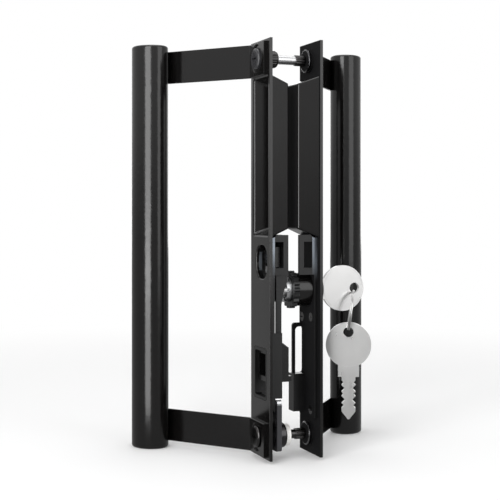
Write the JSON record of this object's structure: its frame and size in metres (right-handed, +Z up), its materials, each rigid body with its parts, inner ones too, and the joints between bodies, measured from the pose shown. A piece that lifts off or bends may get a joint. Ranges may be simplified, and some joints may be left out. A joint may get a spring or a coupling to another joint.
{
  "type": "sliding patio door handle",
  "caption": "Two-sided sliding patio door pull with upright oval bars, recessed finger pockets, key cylinder, thumb latch and keys on a ring.",
  "frame": {"origin": "middle of the floor footprint, under the door's mid-plane", "axes": "+Z up along the bars, +X from the inner handle to the outer handle, +Y from the lock side towards the grip bars"},
  "size_m": [0.1528, 0.0846, 0.2434],
  "materials": {
    "black_enamel": "gloss black enamel",
    "black_casting": "black painted zinc casting",
    "zinc_steel": "zinc plated steel",
    "dark_steel": "blackened steel",
    "white_nylon": "white nylon",
    "black_plastic": "black moulded plastic",
    "nickel": "nickel plated",
    "brass": "plain brass"
  },
  "bodies": {
    "handle": {"inner_plate": "black_enamel", "inner_arm_lower": "black_enamel", "inner_arm_upper": "black_enamel", "inner_bar": "black_enamel", "inner_bar_cap_bottom": "black_enamel", "inner_bar_cap_top": "black_enamel", "inner_chassis": "black_casting", "inner_case_screws": "dark_steel", "outer_plate": "black_enamel", "outer_arm_lower": "black_enamel", "outer_arm_upper": "black_enamel", "outer_bar": "black_enamel", "outer_bar_cap_bottom": "black_enamel", "outer_bar_cap_top": "black_enamel", "outer_chassis": "black_casting", "outer_case_screws": "dark_steel", "inner_post_upper": "dark_steel", "inner_post_lower": "dark_steel", "lower_lug": "dark_steel", "nylon_washer": "white_nylon", "snib_spring": "zinc_steel", "latch_spring": "zinc_steel", "stop_pins": "zinc_steel", "screw_upper": "zinc_steel", "screw_lower": "dark_steel", "outer_boss_upper": "dark_steel", "outer_boss_lower": "dark_steel", "outer_keeper": "black_casting", "cylinder_body": "black_enamel", "cylinder_lock_ring": "black_casting", "cylinder_trim_ring": "black_enamel"},
    "snib": {"snib_slide": "black_plastic"},
    "latch": {"latch_slide": "black_plastic", "lock_lever": "black_casting"},
    "plug": {"cylinder_plug": "nickel", "wafers": "brass", "spindle_nut": "zinc_steel", "cam": "dark_steel"},
    "key": {"key_in_lock": "nickel"},
    "ring": {"key_ring": "nickel"},
    "spare": {"spare_key": "nickel"}
  },
  "joints": [
    {"name": "snib_travel", "type": "slide", "parent": "handle", "child": "snib", "axis": [0, 0, 1], "range_m": [-0.0065, 0]},
    {"name": "latch_travel", "type": "slide", "parent": "handle", "child": "latch", "axis": [0, 0, 1], "range_m": [-0.008, 0]},
    {"name": "plug_turn", "type": "hinge", "parent": "handle", "child": "plug", "pos_m": [0.01655, -0.02734, 0.0977], "axis": [1, 0, 0], "range_deg": [-90, 0]},
    {"name": "key_pull", "type": "slide", "parent": "plug", "child": "key", "axis": [1, 0, 0], "range_m": [0, 0.027]},
    {"name": "ring_swing", "type": "hinge", "parent": "key", "child": "ring", "pos_m": [0.04305, -0.02734, 0.0957], "axis": [-0.4305, -0.9026, 0], "range_deg": [-5, 35]},
    {"name": "spare_key_swing", "type": "hinge", "parent": "ring", "child": "spare", "pos_m": [0.04038, -0.02606, 0.07319], "axis": [-0.4305, -0.9026, 0], "range_deg": [-8, 40]}
  ]
}
